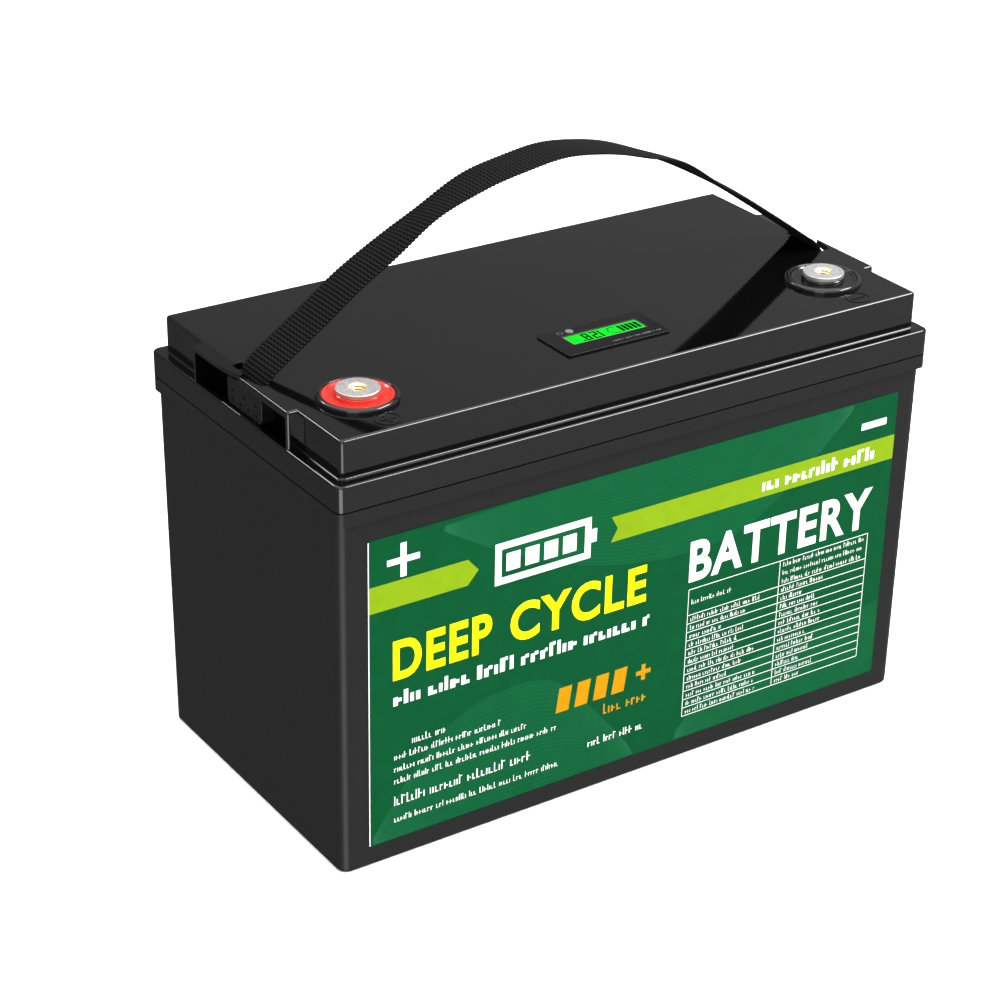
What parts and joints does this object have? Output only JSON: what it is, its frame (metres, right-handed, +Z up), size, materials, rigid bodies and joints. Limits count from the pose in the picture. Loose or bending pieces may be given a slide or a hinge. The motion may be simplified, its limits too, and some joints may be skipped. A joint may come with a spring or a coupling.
{
  "type": "deep cycle battery",
  "caption": "Sealed rectangular leisure battery: case with a bonded lid, webbing carry strap arched over the deck, flush charge meter with push button, and threaded disc terminals.",
  "frame": {"origin": "centre of the footprint, on the surface the battery stands on", "axes": "+X along the length, from the positive end to the negative end; -Y is the labelled front; +Z up"},
  "size_m": [0.328, 0.172, 0.2912],
  "materials": {
    "case_plastic": "satin moulded black-grey ABS",
    "lid_plastic": "glossy moulded black-grey ABS",
    "gasket_rubber": "matt black foam rubber",
    "strap_webbing": "ribbed black nylon webbing",
    "clip_plastic": "fine-grained black nylon",
    "terminal_metal": "bright tin-plated brass, turned face",
    "positive_insulator": "glossy red moulding",
    "negative_insulator": "glossy black moulding",
    "steel": "zinc-plated steel",
    "copper": "tinned copper",
    "bezel_film": "dark violet-grey satin film",
    "display_glass": "lit green liquid-crystal panel",
    "backlight": "milky diffuser",
    "button_rubber": "pale grey silicone",
    "circuit_board": "solder-masked glass epoxy",
    "board_part": "black moulded component",
    "socket_plastic": "ivory nylon",
    "label_film": "printed green film",
    "cell_wrap": "blue insulating film over aluminium",
    "aluminium": "brushed aluminium",
    "epoxy_sheet": "pale green glass epoxy",
    "band_plastic": "green polyester band",
    "foam": "closed-cell dark foam",
    "standoff_brass": "turned brass",
    "red_lead": "red silicone insulation",
    "black_lead": "black silicone insulation",
    "harness_wire": "thin insulated wires"
  },
  "bodies": {
    "case": {"balance_harness": "harness_wire", "base_pad": "foam", "bms_board": "circuit_board", "bms_heatsink": "aluminium", "bms_screws": "steel", "bms_sockets": "socket_plastic", "bms_standoffs": "standoff_brass", "bms_terminals": "copper", "bms_transistors": "board_part", "board_pillars": "epoxy_sheet", "case_tub": "case_plastic", "cell_1": "cell_wrap", "cell_2": "cell_wrap", "cell_3": "cell_wrap", "cell_4": "cell_wrap", "cell_bands": "band_plastic", "cell_bolts": "steel", "cell_lugs": "copper", "cell_posts": "aluminium", "cell_spacers": "epoxy_sheet", "end_plates": "epoxy_sheet", "foam_block_left": "foam", "foam_block_right": "foam", "front_label": "label_film", "insulation_board": "epoxy_sheet", "lid_cover": "lid_plastic", "lid_gasket": "gasket_rubber", "meter_backlight": "backlight", "meter_bezel": "bezel_film", "meter_board": "circuit_board", "meter_button_dome": "button_rubber", "meter_display": "display_glass", "meter_lead": "black_lead", "meter_switch": "board_part", "negative_cell_lead": "black_lead", "negative_output_lead": "black_lead", "negative_terminal": "terminal_metal", "negative_terminal_dish": "negative_insulator", "negative_terminal_ring": "negative_insulator", "positive_lead": "red_lead", "positive_terminal": "terminal_metal", "positive_terminal_dish": "positive_insulator", "positive_terminal_ring": "negative_insulator", "sensor_lead": "black_lead", "series_busbar_1": "copper", "series_busbar_2": "copper", "series_busbar_3": "copper", "strap_clip_left": "clip_plastic", "strap_clip_right": "clip_plastic", "strap_end_left": "strap_webbing", "strap_end_right": "strap_webbing", "temperature_sensor": "board_part", "terminal_lugs": "copper", "terminal_nuts": "steel", "terminal_washers": "steel"},
    "strap": {"carry_strap": "strap_webbing"},
    "button": {"meter_button": "button_rubber"}
  },
  "joints": [
    {"name": "strap_swing", "type": "hinge", "parent": "case", "child": "strap", "pos_m": [0, -0.001, 0.215], "axis": [1, 0, 0], "range_deg": [-55, 55], "stiffness_Nm_per_rad": 0.06, "deforming": ["strap_end_left", "strap_end_right"]},
    {"name": "meter_button_press", "type": "slide", "parent": "case", "child": "button", "axis": [0, 0, -1], "range_m": [0, 0.0004], "stiffness_N_per_m": 500, "springref_m": -0.001, "deforming": ["meter_button_dome"]}
  ]
}
